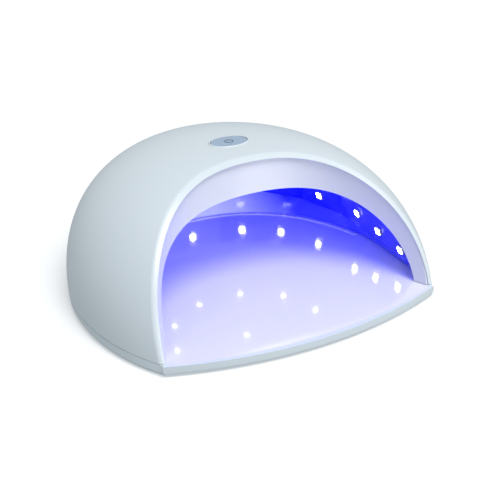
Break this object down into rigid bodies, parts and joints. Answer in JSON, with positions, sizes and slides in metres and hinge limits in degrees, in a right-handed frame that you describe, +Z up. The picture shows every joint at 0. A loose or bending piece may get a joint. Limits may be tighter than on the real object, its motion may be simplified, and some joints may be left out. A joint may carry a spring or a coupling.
{
  "type": "uv curing lamp",
  "caption": "Dome-shaped ultraviolet curing lamp with an arched mouth, funnel bezel, LED-lined chamber, lift-off tray and a button on the crown.",
  "frame": {"origin": "middle of the footprint, on the surface that the lamp stands on", "axes": "+X across the mouth to the right when seen from the mouth, +Y from the mouth to the back, +Z up"},
  "size_m": [0.226, 0.2237, 0.0862],
  "materials": {
    "white_gloss": "gloss",
    "white_liner": "gloss",
    "floor_gloss": "high gloss",
    "foot_rubber": "matte",
    "magnet_nickel": "satin",
    "band_reflector": "gloss",
    "led_ceramic": "satin",
    "led_window": "lit",
    "board_green": "solder mask",
    "chip_black": "matte",
    "connector_cream": "satin",
    "capacitor_can": "satin",
    "screw_steel": "satin",
    "button_blue": "gloss",
    "icon_dark": "printed",
    "ring_white": "gloss",
    "jack_black": "satin",
    "contact_brass": "bright",
    "lead_red": "satin",
    "switch_steel": "satin"
  },
  "bodies": {
    "base": {"base_tray": "white_gloss", "floor_plate": "floor_gloss", "rubber_feet": "foot_rubber", "tray_magnets": "magnet_nickel"},
    "housing": {"board_capacitors": "capacitor_can", "board_connectors": "connector_cream", "board_screws": "screw_steel", "bottom_frame": "white_gloss", "button_ring": "ring_white", "ceiling_led_boards": "board_green", "ceiling_leds": "led_window", "chamber_liner": "white_liner", "control_board": "board_green", "controller_chip": "chip_black", "dc_jack": "jack_black", "dc_jack_lugs": "contact_brass", "dc_jack_nut": "screw_steel", "dc_jack_pin": "contact_brass", "dome_shell": "white_gloss", "frame_screws": "screw_steel", "front_bezel": "white_liner", "housing_magnets": "magnet_nickel", "led_band": "band_reflector", "led_driver_chips": "chip_black", "power_inductor": "chip_black", "power_leads": "lead_red", "tact_switch": "switch_steel", "wall_led_packages": "led_ceramic", "wall_led_windows": "led_window"},
    "button": {"power_button": "button_blue", "button_icon": "icon_dark"},
    "plunger": {"switch_plunger": "chip_black"}
  },
  "joints": [
    {"name": "housing_lift", "type": "slide", "parent": "base", "child": "housing", "axis": [0, 0, 1], "range_m": [0, 0.06]},
    {"name": "button_press", "type": "slide", "parent": "housing", "child": "button", "axis": [0, 0, -1], "range_m": [0, 0.0005], "stiffness_N_per_m": 2500, "springref_m": -0.0003},
    {"name": "plunger_press", "type": "slide", "parent": "housing", "child": "plunger", "axis": [0, 0, -1], "range_m": [0, 0.0005]}
  ],
  "couplings": [
    {"joint": "plunger_press", "follows": "button_press", "ratio": 1}
  ]
}
